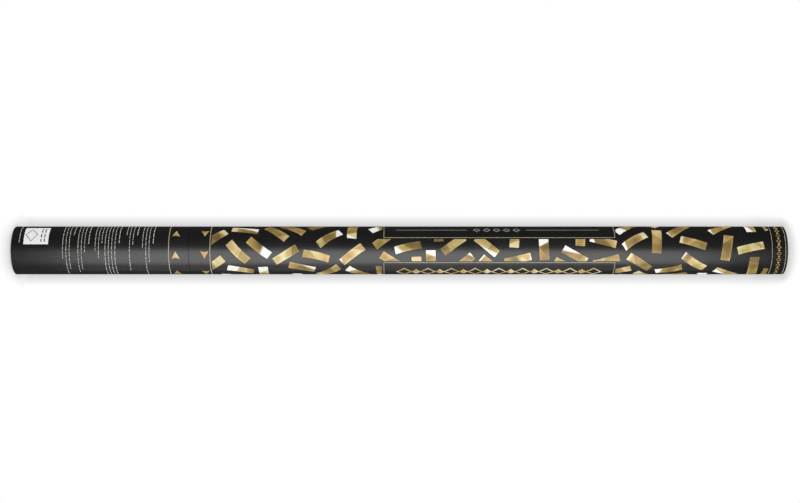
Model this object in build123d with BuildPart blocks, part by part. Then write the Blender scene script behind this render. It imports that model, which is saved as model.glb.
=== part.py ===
from build123d import *
from math import asin, cos, degrees, radians, sin, sqrt
import os

# A twist-fired confetti popper, standing on its base with the muzzle up.
# Millimetres, +Z along the barrel, origin in the middle of the base.

# Overall size, measured over the printed paper
overall_length = 800.0
outer_diameter = 50.0
handle_length = 183.0       # floor to the middle of the twist seam
seam_gap = 0.5              # slit between the two tubes at the seam

# Wound board tubes and the paper glued round them
paper_thickness = 0.3
paper_setback = 0.4         # bare board at each open end
board_wall = 2.0
glue_line = 0.05            # between two glued pieces

# Base plug of the handle
base_height = 22.0
base_wall = 2.0
base_floor = 2.2
foot_recess = 3.0           # hollow under the base
foot_width = 4.0            # flat ring that the popper stands on
foot_bevel = 0.6
seat_rise = 7.0             # floor of the plug to the bottle's foot
seat_width = 4.0
base_rib_count = 6
base_rib_thickness = 1.6

# Air bottle
bottle_wall = 1.0
bottle_foot_round = 4.0
bottle_dome = 5.0           # rise of the hollow base
neck_bore = 6.5
fill_hole = 2.5
fill_head_radius = 5.0
fill_head_depth = 2.0
fill_barb_radius = 3.6
fill_barb_length = 5.0
fill_gap = 0.05

# Fluted sleeve round the bottle
sleeve_thickness = 3.4
sleeve_fit = 0.1
sleeve_flute_count = 18
sleeve_flute_radius = 1.1
sleeve_end_gap = 0.5

# Collar of the handle and the spigot on it
collar_wall = 2.0
plate_thickness = 3.0
handle_skirt = 24.0
boss_length = 20.0
boss_wall = 3.0
thread_fit = 0.1
neck_drop = 1.0             # top of the neck below the plate's face
blast_clearance = 2.0       # round the plug, for the air
spigot_wall = 2.6
collar_rib_count = 8
collar_rib_thickness = 1.6
seal_thickness = 1.5
seal_margin = 0.4           # flat of the shoulder round the seal
washer_thickness = 1.0
washer_fit = 0.2
washer_inset = 0.6          # washer's edge inside the bore

# Retaining ring on the spigot
ring_thickness = 1.2
ring_reach = 2.0            # past the spigot
ring_groove_depth = 0.9
ring_opening = 40.0         # degrees between the lugs
ring_lug_radius = 1.7
ring_eye_radius = 0.7
ring_fit = 0.05
spigot_land = 2.5           # spigot above the ring
spigot_lead = 0.8

# Cam: two helical slots that lift the pin as the barrel turns
twist_angle = 90.0
lift = 6.0
cam_wall = 2.8
cam_land = 3.0              # ring left above and below the slots
cam_skirt_wall = 2.0
cam_web = 3.0
cam_rib_count = 8
cam_rib_thickness = 1.6
running_fit = 0.15
end_float = 0.1
pin_radius = 1.5
pin_fit = 0.2
slot_relief = 0.05          # round end of a cam slot past its width
pin_end_gap = 0.3
pin_hole_fit = 0.02
access_fit = 0.5            # hole in the skirt that the pin goes in by

# Release plug
plug_fit = 0.12
seal_depth = 3.5            # ring below the top of the neck
ring_section = 0.8          # half the thickness of the ring
ring_bevel = 0.35
squeeze_gap = 0.04
ring_side_gap = 0.15
plug_land = 2.2             # plug above the ring
guide_length = 12.0
guide_flute_count = 4
guide_flute_radius = 2.6
stem_radius = 3.4
stem_head = 3.5             # stem above the pin
stem_dome = 1.6

# Blast plate
blast_gap = 4.0             # over the spigot
blast_thickness = 3.0
blast_rim_wall = 2.0
blast_centre_hole = 4.0
blast_hole = 2.6
blast_hole_count = 8
blast_hole_circle = 12.5

# Charge
charge_fit = 0.3
charge_seat = 0.1
cup_depth = 12.0
cup_wall = 1.6
cup_crown = 3.0
cup_bevel = 0.8
slip_length = 50.0
slip_width = 20.0
bundle_thickness = 1.2
bundle_pitch = 3.4
bundle_count = 9
tier_count = 6
tier_turn = 75.0            # each tier against the one under it
tier_gap = 0.1

# Muzzle plug
muzzle_recess = 1.0
muzzle_fit = 0.1
muzzle_depth = 12.0
muzzle_wall = 1.2
muzzle_dish = 2.5
muzzle_lead = 0.5
muzzle_ring_radius = 13.0
muzzle_ring_width = 1.4
muzzle_ring_height = 0.8

# Radii worked out from the outside in
paper_radius = outer_diameter / 2
board_radius = paper_radius - paper_thickness - glue_line
bore_radius = board_radius - board_wall
glued_radius = bore_radius - glue_line
bottle_radius = bore_radius - sleeve_thickness - 2 * sleeve_fit

# Radii worked out from the neck outwards
neck_radius = neck_bore + bottle_wall
boss_bore = neck_radius + thread_fit
boss_radius = boss_bore + boss_wall
spigot_bore = neck_radius + blast_clearance
spigot_radius = spigot_bore + spigot_wall
cam_bore = spigot_radius + running_fit
cam_radius = cam_bore + cam_wall
plug_radius = neck_bore - plug_fit
slot_half = pin_radius + pin_fit
pin_reach = cam_radius - pin_end_gap

# Heights in the handle, from the floor up
seat_floor = foot_recess + base_floor
seat_top = seat_floor + seat_rise
handle_top = handle_length - seam_gap / 2
plate_top = handle_length - washer_thickness / 2
plate_bottom = plate_top - plate_thickness
boss_bottom = plate_top - boss_length
neck_top = plate_top - neck_drop
shoulder_top = boss_bottom - seal_thickness
shoulder_round = bottle_radius - boss_radius - seal_margin
shoulder_start = shoulder_top - shoulder_round

# Heights in the barrel, from the seam up
barrel_bottom = handle_length + seam_gap / 2
cam_bottom = plate_top + washer_thickness + end_float
cam_web_top = cam_bottom + cam_web
pin_height = cam_web_top + cam_land + slot_half
cam_top = pin_height + lift + slot_half + cam_land
ring_bottom = cam_top + end_float
ring_top = ring_bottom + ring_thickness
spigot_top = ring_top + spigot_land
blast_bottom = spigot_top + blast_gap
blast_top = blast_bottom + blast_thickness
cup_bottom = blast_top + charge_seat
cup_top = cup_bottom + cup_depth
muzzle_top = overall_length - muzzle_recess


def ring_face(outer, inner):
    """Flat ring between two radii, for a sketch."""
    Circle(outer)
    Circle(inner, mode=Mode.SUBTRACT)


def write(piece, name):
    """Label a finished piece and write it under its own name."""
    piece.part.label = name
    export_step(piece.part, f"parts/{name}.step")


os.makedirs("parts", exist_ok=True)

# Handle tube: wound board, cut square
with BuildPart() as handle_tube:
    with BuildSketch():
        ring_face(board_radius, bore_radius)
    extrude(amount=handle_top)
write(handle_tube, "handle_tube")

# Handle label: laminated paper, trimmed just short of the floor
with BuildPart() as handle_label:
    with BuildSketch(Plane.XY.offset(paper_setback)):
        ring_face(paper_radius, paper_radius - paper_thickness)
    extrude(amount=handle_top - paper_setback)
write(handle_label, "handle_label")

# Base plug: a cup with a hollow foot, a seat for the bottle and ribs round it
bottle_foot = bottle_radius - bottle_foot_round
with BuildPart() as base_cap:
    with BuildSketch(Plane.XZ):
        with BuildLine():
            Polyline(
                (0, foot_recess),
                (glued_radius - foot_width, foot_recess),
                (glued_radius - foot_width, 0),
                (glued_radius, 0),
                (glued_radius, base_height),
                (glued_radius - base_wall, base_height),
                (glued_radius - base_wall, seat_floor),
                (0, seat_floor),
                close=True,
            )
        make_face()
    revolve(axis=Axis.Z)
    foot_edges = base_cap.edges().filter_by(GeomType.CIRCLE).group_by(Axis.Z)[0]
    chamfer(foot_edges, length=foot_bevel)
    with BuildSketch(Plane.XY.offset(seat_floor)):
        ring_face(bottle_foot + seat_width / 2, bottle_foot - seat_width / 2)
    extrude(amount=seat_rise)
    rib_start = bottle_foot
    rib_length = glued_radius - base_wall / 2 - rib_start
    with BuildSketch(Plane.XY.offset(seat_floor)):
        with PolarLocations(rib_start + rib_length / 2, base_rib_count):
            Rectangle(rib_length, base_rib_thickness)
    extrude(amount=seat_rise / 2)
write(base_cap, "base_cap")

# Air bottle: drawn aluminium with a hollow base, a round shoulder and a plain neck
dome_radius = (bottle_foot**2 + bottle_dome**2) / (2 * bottle_dome)
with BuildPart() as air_cylinder:
    with BuildSketch(Plane.XZ):
        with BuildLine():
            dome = RadiusArc((0, seat_top + bottle_dome), (bottle_foot, seat_top), dome_radius)
            foot = CenterArc(
                (bottle_foot, seat_top + bottle_foot_round), bottle_foot_round, 270, 90
            )
            Line(foot @ 1, (bottle_radius, shoulder_start))
            shoulder = CenterArc(
                (bottle_radius - shoulder_round, shoulder_start), shoulder_round, 0, 90
            )
            Polyline(
                shoulder @ 1,
                (neck_radius, shoulder_top),
                (neck_radius, neck_top),
                (0, neck_top),
                dome @ 0,
            )
        make_face()
    revolve(axis=Axis.Z)
    neck_face = air_cylinder.faces().sort_by(Axis.Z)[-1]
    offset(amount=-bottle_wall, openings=neck_face)
    with BuildSketch(Plane.XY.offset(seat_top)):
        Circle(fill_hole)
    extrude(amount=2 * bottle_dome, mode=Mode.SUBTRACT)
write(air_cylinder, "air_cylinder")

# Fill plug: rubber, its head shaped to the hollow base and a barb inside
dome_centre = seat_top + bottle_dome - dome_radius
plug_dome_radius = dome_radius - fill_gap
head_edge = dome_centre + sqrt(plug_dome_radius**2 - fill_head_radius**2)
barb_bottom = dome_centre + dome_radius + bottle_wall + fill_gap
fill_stem = fill_hole - fill_gap
stem_start = dome_centre + sqrt(plug_dome_radius**2 - fill_stem**2)
with BuildPart() as fill_plug:
    with BuildSketch(Plane.XZ):
        with BuildLine():
            head = RadiusArc((fill_stem, stem_start), (fill_head_radius, head_edge), plug_dome_radius)
            Polyline(
                head @ 1,
                (fill_head_radius, head_edge - fill_head_depth),
                (0, head_edge - fill_head_depth),
                (0, barb_bottom + fill_barb_length),
                (fill_stem, barb_bottom + fill_barb_length),
                (fill_barb_radius, barb_bottom),
                (fill_stem, barb_bottom),
                head @ 0,
            )
        make_face()
    revolve(axis=Axis.Z)
write(fill_plug, "fill_plug")

# Spacer sleeve: fluted board that centres the bottle
sleeve_bottom = base_height + sleeve_end_gap
sleeve_middle = bore_radius - sleeve_fit - sleeve_thickness / 2
with BuildPart() as spacer_sleeve:
    with BuildSketch(Plane.XY.offset(sleeve_bottom)):
        ring_face(bore_radius - sleeve_fit, bottle_radius + sleeve_fit)
        with PolarLocations(sleeve_middle, sleeve_flute_count):
            Circle(sleeve_flute_radius, mode=Mode.SUBTRACT)
    extrude(amount=shoulder_start - sleeve_end_gap - sleeve_bottom)
write(spacer_sleeve, "spacer_sleeve")

# Neck seal: rubber washer on the bottle's shoulder
with BuildPart() as neck_seal:
    with BuildSketch(Plane.XY.offset(shoulder_top)):
        ring_face(boss_radius, boss_bore)
    extrude(amount=seal_thickness)
write(neck_seal, "neck_seal")

# Handle collar: skirt, plate, threaded boss and the slotted spigot that guides the pin
with BuildPart() as handle_collar:
    with BuildSketch(Plane.XZ):
        with BuildLine():
            Polyline(
                (boss_bore, boss_bottom),
                (boss_radius, boss_bottom),
                (boss_radius, plate_bottom),
                (glued_radius - collar_wall, plate_bottom),
                (glued_radius - collar_wall, plate_top - handle_skirt),
                (glued_radius, plate_top - handle_skirt),
                (glued_radius, plate_top),
                (spigot_radius, plate_top),
                (spigot_radius, spigot_top),
                (spigot_bore, spigot_top),
                (spigot_bore, neck_top),
                (boss_bore, neck_top),
                close=True,
            )
        make_face()
    revolve(axis=Axis.Z)
    top_rims = handle_collar.edges().filter_by(GeomType.CIRCLE).group_by(Axis.Z)[-1]
    spigot_rim = top_rims.sort_by(SortBy.RADIUS)[-1]
    chamfer(spigot_rim, length=spigot_lead)
    rib_start = boss_radius - boss_wall / 2
    rib_length = glued_radius - collar_wall / 2 - rib_start
    with BuildSketch(Plane.XY.offset(plate_bottom)):
        with PolarLocations(rib_start + rib_length / 2, collar_rib_count):
            Rectangle(rib_length, collar_rib_thickness)
    extrude(amount=-(boss_length - plate_thickness) / 2)
    with BuildSketch(Plane.YZ):
        with Locations((0, pin_height + lift / 2)):
            SlotCenterToCenter(lift, 2 * slot_half, rotation=90)
    extrude(amount=spigot_radius + ring_reach, both=True, mode=Mode.SUBTRACT)
    with BuildSketch(Plane.XY.offset(ring_bottom - ring_fit)):
        ring_face(spigot_radius + ring_reach, spigot_radius - ring_groove_depth)
    extrude(amount=ring_thickness + 2 * ring_fit, mode=Mode.SUBTRACT)
write(handle_collar, "handle_collar")

# Thrust washer: the barrel turns on it
with BuildPart() as thrust_washer:
    with BuildSketch(Plane.XY.offset(plate_top)):
        ring_face(bore_radius - washer_inset, spigot_radius + washer_fit)
    extrude(amount=washer_thickness)
write(thrust_washer, "thrust_washer")

# Retaining ring: spring steel circlip with two eyes for the pliers
ring_inner = spigot_radius - ring_groove_depth + ring_fit
ring_outer = spigot_radius + ring_reach
lug_circle = spigot_radius + ring_lug_radius + ring_fit
lug_half_angle = ring_opening / 2 + degrees(asin(ring_lug_radius / lug_circle))
with BuildPart() as retaining_ring:
    with BuildSketch(Plane.XY.offset(ring_bottom)):
        ring_face(ring_outer, ring_inner)
        with BuildLine():
            edge_reach = 2 * ring_outer
            half_opening = radians(ring_opening / 2)
            Polyline(
                (0, 0),
                (edge_reach * cos(half_opening), edge_reach * sin(half_opening)),
                (edge_reach * cos(half_opening), -edge_reach * sin(half_opening)),
                close=True,
            )
        make_face(mode=Mode.SUBTRACT)
        with PolarLocations(lug_circle, 2, start_angle=-lug_half_angle, angular_range=4 * lug_half_angle):
            Circle(ring_lug_radius)
            Circle(ring_eye_radius, mode=Mode.SUBTRACT)
    extrude(amount=ring_thickness)
write(retaining_ring, "retaining_ring")

# Release plug: fluted guide, ring groove, stem and domed head
ring_centre = neck_bore - squeeze_gap - ring_section
groove_radius = ring_centre - ring_section - squeeze_gap
ring_height = neck_top - seal_depth
groove_half = ring_section + ring_side_gap
plug_bottom = ring_height - groove_half - guide_length
plug_top = ring_height + groove_half + plug_land
stem_top = pin_height + pin_radius + stem_head
crown_radius = (stem_radius**2 + stem_dome**2) / (2 * stem_dome)
with BuildPart() as release_plug:
    with BuildSketch(Plane.XZ):
        with BuildLine():
            crown = RadiusArc((stem_radius, stem_top), (0, stem_top + stem_dome), -crown_radius)
            Polyline(
                crown @ 1,
                (0, plug_bottom),
                (plug_radius, plug_bottom),
                (plug_radius, ring_height - groove_half),
                (groove_radius, ring_height - groove_half),
                (groove_radius, ring_height + groove_half),
                (plug_radius, ring_height + groove_half),
                (plug_radius, plug_top),
                (stem_radius, plug_top),
                crown @ 0,
            )
        make_face()
    revolve(axis=Axis.Z)
    with BuildSketch(Plane.XY.offset(plug_bottom)):
        with PolarLocations(plug_radius, guide_flute_count):
            Circle(guide_flute_radius)
    extrude(amount=guide_length - ring_section, mode=Mode.SUBTRACT)
    with BuildSketch(Plane.YZ):
        with Locations((0, pin_height)):
            Circle(pin_radius + pin_hole_fit)
    extrude(amount=plug_radius, both=True, mode=Mode.SUBTRACT)
write(release_plug, "release_plug")

# Plug ring: rubber, as squeezed flat between the plug and the neck
with BuildPart() as plug_o_ring:
    with BuildSketch(Plane.XZ) as ring_profile:
        with Locations((ring_centre, ring_height)):
            Rectangle(2 * ring_section, 2 * ring_section)
        chamfer(ring_profile.vertices(), length=ring_bevel)
    revolve(axis=Axis.Z)
write(plug_o_ring, "plug_o_ring")

# Cross pin: steel dowel through the stem, in the spigot's slots and the cam slots
with BuildPart() as cross_pin:
    with BuildSketch(Plane.YZ):
        with Locations((0, pin_height)):
            Circle(pin_radius)
    extrude(amount=pin_reach, both=True)
    chamfer(cross_pin.edges().filter_by(GeomType.CIRCLE), length=pin_fit)
write(cross_pin, "cross_pin")

# Shape of one cam slot: the pin's own path, a helix that climbs as the barrel turns
slot_depth = cam_wall + 2 * pin_end_gap
slot_centre = (cam_bore + cam_radius) / 2
slot_outer = slot_centre + slot_depth / 2
with BuildPart() as cam_slot:
    with BuildLine() as slot_line:
        Helix(lift * 360 / twist_angle, lift, slot_centre, (0, 0, pin_height), lefthand=True)
    with BuildSketch(Plane(slot_line.line @ 0, x_dir=(1, 0, 0), z_dir=slot_line.line % 0)):
        Rectangle(slot_depth, 2 * slot_half)
    sweep(path=slot_line.line, is_frenet=True)
    for turn, height in ((0, pin_height), (-twist_angle, pin_height + lift)):
        outward = Vector(1, 0, 0).rotate(Axis.Z, turn)
        start = outward * (slot_outer - slot_depth) + Vector(0, 0, height)
        with BuildSketch(Plane(start, z_dir=outward)):
            Circle(slot_half + slot_relief)
        extrude(amount=slot_depth)

# Cam collar: glued in the barrel, its inner ring slotted for the pin
skirt_bore = glued_radius - cam_skirt_wall
with BuildPart() as cam_collar:
    with BuildSketch(Plane.XZ):
        with BuildLine():
            Polyline(
                (cam_bore, cam_bottom),
                (glued_radius, cam_bottom),
                (glued_radius, cam_top),
                (skirt_bore, cam_top),
                (skirt_bore, cam_web_top),
                (cam_radius, cam_web_top),
                (cam_radius, cam_top),
                (cam_bore, cam_top),
                close=True,
            )
        make_face()
    revolve(axis=Axis.Z)
    rib_start = cam_radius - cam_wall / 2
    rib_length = glued_radius - cam_skirt_wall / 2 - rib_start
    rib_turn = 180 / cam_rib_count
    with BuildSketch(Plane.XY.offset(cam_web_top)):
        with PolarLocations(rib_start + rib_length / 2, cam_rib_count, start_angle=rib_turn):
            Rectangle(rib_length, cam_rib_thickness)
    extrude(amount=cam_top - cam_web_top - cam_land)
    with PolarLocations(0, 2):
        add(cam_slot.part, mode=Mode.SUBTRACT)
    with BuildSketch(Plane.YZ.offset(slot_outer)):
        with Locations((0, pin_height)):
            Circle(pin_radius + access_fit)
    extrude(amount=bore_radius - slot_outer, mode=Mode.SUBTRACT)
write(cam_collar, "cam_collar")

# Barrel tube: wound board, cut square
with BuildPart() as barrel_tube:
    with BuildSketch(Plane.XY.offset(barrel_bottom)):
        ring_face(board_radius, bore_radius)
    extrude(amount=overall_length - barrel_bottom)
write(barrel_tube, "barrel_tube")

# Barrel label: laminated paper, trimmed just short of the muzzle
with BuildPart() as barrel_label:
    with BuildSketch(Plane.XY.offset(barrel_bottom)):
        ring_face(paper_radius, paper_radius - paper_thickness)
    extrude(amount=overall_length - paper_setback - barrel_bottom)
write(barrel_label, "barrel_label")

# Blast plate: an upturned dish on the cam collar, drilled to spread the air
with BuildPart() as blast_plate:
    with BuildSketch(Plane.XZ):
        with BuildLine():
            Polyline(
                (0, blast_bottom),
                (glued_radius - blast_rim_wall, blast_bottom),
                (glued_radius - blast_rim_wall, cam_top),
                (glued_radius, cam_top),
                (glued_radius, blast_top),
                (0, blast_top),
                close=True,
            )
        make_face()
    revolve(axis=Axis.Z)
    with BuildSketch(Plane.XY.offset(blast_bottom)):
        Circle(blast_centre_hole)
        with PolarLocations(blast_hole_circle, blast_hole_count):
            Circle(blast_hole)
    extrude(amount=blast_thickness, mode=Mode.SUBTRACT)
write(blast_plate, "blast_plate")

# Pusher cup: moulded pulp, open towards the air
cup_radius = bore_radius - charge_fit
with BuildPart() as pusher_cup:
    with BuildSketch(Plane.XZ):
        with BuildLine():
            Polyline(
                (0, cup_top - cup_crown),
                (cup_radius - cup_wall, cup_top - cup_crown),
                (cup_radius - cup_wall, cup_bottom),
                (cup_radius, cup_bottom),
                (cup_radius, cup_top),
                (0, cup_top),
                close=True,
            )
        make_face()
    revolve(axis=Axis.Z)
    cup_rim = pusher_cup.edges().filter_by(GeomType.CIRCLE).group_by(Axis.Z)[-1]
    chamfer(cup_rim, length=cup_bevel)
write(pusher_cup, "pusher_cup")

# Confetti: bundles of foil slips on edge, each tier turned against the one under it
for tier in range(tier_count):
    tier_bottom = cup_top + tier_gap + tier * (slip_length + tier_gap)
    tier_plane = Plane.XY.offset(tier_bottom).rotated((0, 0, tier * tier_turn))
    with BuildPart() as confetti_tier:
        with BuildSketch(tier_plane):
            with GridLocations(bundle_pitch, slip_width, bundle_count, 1):
                Rectangle(bundle_thickness, slip_width)
        extrude(amount=slip_length)
    write(confetti_tier, f"confetti_tier_{tier + 1}")

# Muzzle plug: thin moulding with a dished face, pushed into the bore
muzzle_radius = bore_radius - muzzle_fit
dish_top = muzzle_top - muzzle_dish
with BuildPart() as muzzle_cap:
    with BuildSketch(Plane.XZ):
        with BuildLine():
            Polyline(
                (0, dish_top - muzzle_wall),
                (muzzle_radius - muzzle_wall, dish_top - muzzle_wall),
                (muzzle_radius - muzzle_wall, muzzle_top - muzzle_depth),
                (muzzle_radius - muzzle_lead, muzzle_top - muzzle_depth),
                (muzzle_radius, muzzle_top - muzzle_depth + muzzle_lead),
                (muzzle_radius, muzzle_top),
                (muzzle_radius - muzzle_wall, muzzle_top),
                (muzzle_radius - muzzle_wall, dish_top),
                (0, dish_top),
                close=True,
            )
        make_face()
    revolve(axis=Axis.Z)
    with BuildSketch(Plane.XY.offset(dish_top)):
        ring_face(muzzle_ring_radius, muzzle_ring_radius - muzzle_ring_width)
    extrude(amount=muzzle_ring_height)
write(muzzle_cap, "muzzle_cap")
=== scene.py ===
# Confetti popper: smooth paper, board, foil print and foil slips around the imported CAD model
from functools import partial

import bpy
import numpy as np
from mathutils import Matrix


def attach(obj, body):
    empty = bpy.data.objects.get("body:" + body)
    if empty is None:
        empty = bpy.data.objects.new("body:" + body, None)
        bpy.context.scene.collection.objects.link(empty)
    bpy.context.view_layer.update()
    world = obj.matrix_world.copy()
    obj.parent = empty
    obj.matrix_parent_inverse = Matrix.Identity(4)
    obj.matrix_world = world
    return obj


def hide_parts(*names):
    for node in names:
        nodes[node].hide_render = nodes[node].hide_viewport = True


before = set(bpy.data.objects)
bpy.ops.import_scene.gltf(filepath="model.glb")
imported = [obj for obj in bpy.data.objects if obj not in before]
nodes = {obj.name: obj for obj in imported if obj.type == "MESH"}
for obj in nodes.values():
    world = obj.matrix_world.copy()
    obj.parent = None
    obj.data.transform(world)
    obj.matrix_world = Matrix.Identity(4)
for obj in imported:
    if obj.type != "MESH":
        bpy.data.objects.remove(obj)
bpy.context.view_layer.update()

scene = bpy.context.scene
scene.view_settings.view_transform = "Standard"
mm = 0.001
turn = 2 * np.pi
sharpAngle = np.radians(40)  # an edge that folds by more stays crisp
print("frame loaded:", len(nodes), "CAD nodes")


# Tools for nodes and colours

def linear(hexText):
    # sRGB to linear: the dark toe is a straight line, the rest a power of 2.4
    level = np.array([int(hexText[i:i + 2], 16) for i in (1, 3, 5)]) / 255
    level = np.where(level < 0.04045, level / 12.92, ((level + 0.055) / 1.055) ** 2.4)
    return (*[float(x) for x in level], 1.0)


white = linear("#ffffff")


def perMm(size):
    # a texture's scale for a feature of that size in millimetres, in a scene in metres
    return 1 / (size * mm)


def addNode(tree, kind, settings=None, links=None):
    # a setting goes to the input of that name or number, or to the node itself, and a ramp's stops
    # are places with hex colours; a link comes from a socket, or from a node's first output
    node = tree.nodes.new("ShaderNode" + kind)
    for key, value in (settings or {}).items():
        if key == "stops":
            ramp = node.color_ramp.elements
            ramp[0].position, ramp[1].position = value[0][0], value[-1][0]
            for place, colour in value[1:-1]:
                ramp.new(place)
            for stop, (place, colour) in zip(ramp, value):
                stop.color = linear(colour)
        elif isinstance(key, int) or key in node.inputs:
            node.inputs[key].default_value = value
        else:
            setattr(node, key, value)
    for key, source in (links or {}).items():
        socket = source if isinstance(source, bpy.types.NodeSocket) else source.outputs[0]
        tree.links.new(socket, node.inputs[key])
    return node


def newMaterial(name):
    # an emptied material, addNode for its own nodes, and the piece's coordinates for patterns
    material = bpy.data.materials.new(name)
    material.use_nodes = True
    material.node_tree.nodes.clear()
    add = partial(addNode, material.node_tree)
    return material, add, add("TexCoord").outputs["Object"]


# Materials, each named for what the real piece is made of

def blackLaminate():
    # offset-printed art paper under a satin film: deep black, a broad soft sheen, faint orange
    # peel, and a little white paper showing where the cut edges are rubbed
    material, add, place = newMaterial("satin_laminated_paper")
    peel = add("TexNoise", {"Scale": perMm(1.6), "Detail": 3.0}, {"Vector": place})
    handling = add("TexNoise", {"Scale": perMm(26), "Detail": 4.0}, {"Vector": place})
    ink = add("ValToRGB", {"stops": [(0.35, "#131312"), (0.7, "#181817")]}, {"Fac": handling})
    edge = add("Attribute", {"attribute_name": "rub"}).outputs["Fac"]
    speck = add("TexNoise", {"Scale": perMm(0.9), "Detail": 5.0, "Roughness": 0.7},
                {"Vector": place})
    worn = add("Math", {"operation": "MULTIPLY"}, {0: edge, 1: speck})
    rubbed = add("ValToRGB", {"stops": [(0.36, "#000000"), (0.52, "#ffffff")]}, {"Fac": worn})
    colour = add("Mix", {"data_type": "RGBA", 7: linear("#a09a92")}, {0: rubbed, 6: ink})
    satin = add("MapRange", {"From Min": 0.3, "From Max": 0.7,
                             "To Min": 0.34, "To Max": 0.4}, {"Value": handling})
    bump = add("Bump", {"Strength": 0.35, "Distance": 0.004 * mm}, {"Height": peel})
    shader = add("BsdfPrincipled", {"IOR": 1.5, "Specular IOR Level": 0.8},
                 {"Base Color": colour.outputs[2], "Roughness": satin, "Normal": bump})
    add("OutputMaterial", links={"Surface": shader})
    return material


def goldFoilPrint():
    # hot-stamped gold foil on paper: warm gold with soft olive and straw patches, painted fold
    # shade that makes one side of a straight line lighter and the other darker, and on some marks a
    # painted highlight, a burnt-out white glint with a straight edge
    material, add, place = newMaterial("stamped_gold_foil")
    tone, fold, glint = [add("Attribute", {"attribute_name": label}).outputs["Fac"]
                         for label in ("tone", "fold", "glint")]
    crease = add("TexNoise", {"Scale": perMm(13), "Detail": 1.0, "Roughness": 0.4},
                 {"Vector": place})
    # patches: the noise less its middle value, a little stronger
    patch = add("Math", {"operation": "MULTIPLY_ADD", 1: 1.1, 2: -0.55}, {0: crease})
    # painted fold shade: lighter on one side of the fold line, darker on the other
    side = add("MapRange", {"From Min": -0.3, "From Max": 0.3,
                            "To Min": -0.17, "To Max": 0.17}, {"Value": fold})
    shade = add("Math", {"operation": "ADD"}, {0: tone, 1: patch})
    shade = add("Math", {"operation": "ADD"}, {0: shade, 1: side})
    gold = add("ValToRGB", {"stops": [(0.02, "#5c481a"), (0.26, "#8a6f2c"),
                                      (0.46, "#ab914e"), (0.66, "#cab26c"),
                                      (1.0, "#f6edc8")]}, {"Fac": shade})
    # hue: a faint tint that drifts over the gold, and then some olive or copper mixed into it
    drift = add("TexNoise", {"Scale": perMm(11), "Detail": 1.0}, {"Vector": place})
    hue = add("ValToRGB", {"stops": [(0.36, "#fff2e8"), (0.5, "#fffdf8"),
                                     (0.64, "#f8fef0")]}, {"Fac": drift})
    gold = add("MixRGB", {"blend_type": "MULTIPLY", "Fac": 1.0}, {"Color1": gold, "Color2": hue})
    drift = add("TexNoise", {"noise_dimensions": "4D", "W": 3.0, "Scale": perMm(12),
                             "Detail": 1.0}, {"Vector": place})
    hue = add("ValToRGB", {"stops": [(0.34, "#857c3e"), (0.5, "#b89c5c"),
                                     (0.66, "#d4a06c")]}, {"Fac": drift})
    gold = add("Mix", {"data_type": "RGBA", 0: 0.27}, {6: gold, 7: hue})
    # painted highlight: past its line the glint turns the gold white
    flare = add("MapRange", {"From Min": 0.0, "From Max": 1.4}, {"Value": glint})
    colour = add("Mix", {"data_type": "RGBA", 7: linear("#fffdf4")}, {0: flare, 6: gold.outputs[2]})
    fine = add("TexNoise", {"Scale": perMm(0.8), "Detail": 2.0}, {"Vector": place})
    bump = add("Bump", {"Strength": 0.25, "Distance": 0.004 * mm}, {"Height": fine})
    shader = add("BsdfPrincipled",
                 {"Metallic": 0.08, "Roughness": 0.34, "Specular IOR Level": 0.75},
                 {"Base Color": colour.outputs[2], "Normal": bump})
    add("OutputMaterial", links={"Surface": shader})
    return material


def screenInk(name, light, dark, grain):
    # opaque screen ink on satin film: an even tint, slightly uneven where the mesh left less of it
    material, add, place = newMaterial(name)
    mesh = add("TexNoise", {"Scale": perMm(grain), "Detail": 2.0}, {"Vector": place})
    tint = add("ValToRGB", {"stops": [(0.3, dark), (0.6, light)]}, {"Fac": mesh})
    bump = add("Bump", {"Strength": 0.2, "Distance": 0.004 * mm}, {"Height": mesh})
    shader = add("BsdfPrincipled", {"Roughness": 0.5}, {"Base Color": tint, "Normal": bump})
    add("OutputMaterial", links={"Surface": shader})
    return material


def woundBoard():
    # spiral-wound grey board: matt fibre with darker flecks, and fine ply lines on the cut ends
    material, add, place = newMaterial("spiral_wound_board")
    fibre = add("TexNoise", {"Scale": perMm(0.7), "Detail": 6.0, "Roughness": 0.65},
                {"Vector": place})
    waveRate = 20  # radians that a wave texture goes through in one unit of length
    ply = add("TexWave", {"wave_type": "RINGS", "rings_direction": "Z",
                          "Scale": turn * perMm(0.36) / waveRate,
                          "Distortion": 0.6, "Detail": 2.0}, {"Vector": place})
    mixed = add("Math", {"operation": "MULTIPLY_ADD", 1: 0.3}, {0: ply.outputs["Fac"], 2: fibre})
    tint = add("ValToRGB", {"stops": [(0.4, "#5f574c"), (0.62, "#8f8575"),
                                      (0.9, "#aea491")]}, {"Fac": mixed})
    bump = add("Bump", {"Strength": 0.5, "Distance": 0.05 * mm}, {"Height": mixed})
    shader = add("BsdfPrincipled", {"Roughness": 0.88, "Specular IOR Level": 0.3},
                 {"Base Color": tint, "Normal": bump})
    add("OutputMaterial", links={"Surface": shader})
    return material


def flutedBoard():
    # kraft corrugated board: warm brown, long fibres along the flutes
    material, add, place = newMaterial("kraft_corrugated_board")
    along = add("Mapping", {"Scale": (1.0, 1.0, 0.15)}, {"Vector": place})
    fibre = add("TexNoise", {"Scale": perMm(0.8), "Detail": 5.0}, {"Vector": along})
    tint = add("ValToRGB", {"stops": [(0.35, "#8a6842"), (0.65, "#b48f62")]}, {"Fac": fibre})
    bump = add("Bump", {"Strength": 0.4, "Distance": 0.04 * mm}, {"Height": fibre})
    shader = add("BsdfPrincipled", {"Roughness": 0.85, "Specular IOR Level": 0.3},
                 {"Base Color": tint, "Normal": bump})
    add("OutputMaterial", links={"Surface": shader})
    return material


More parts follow.
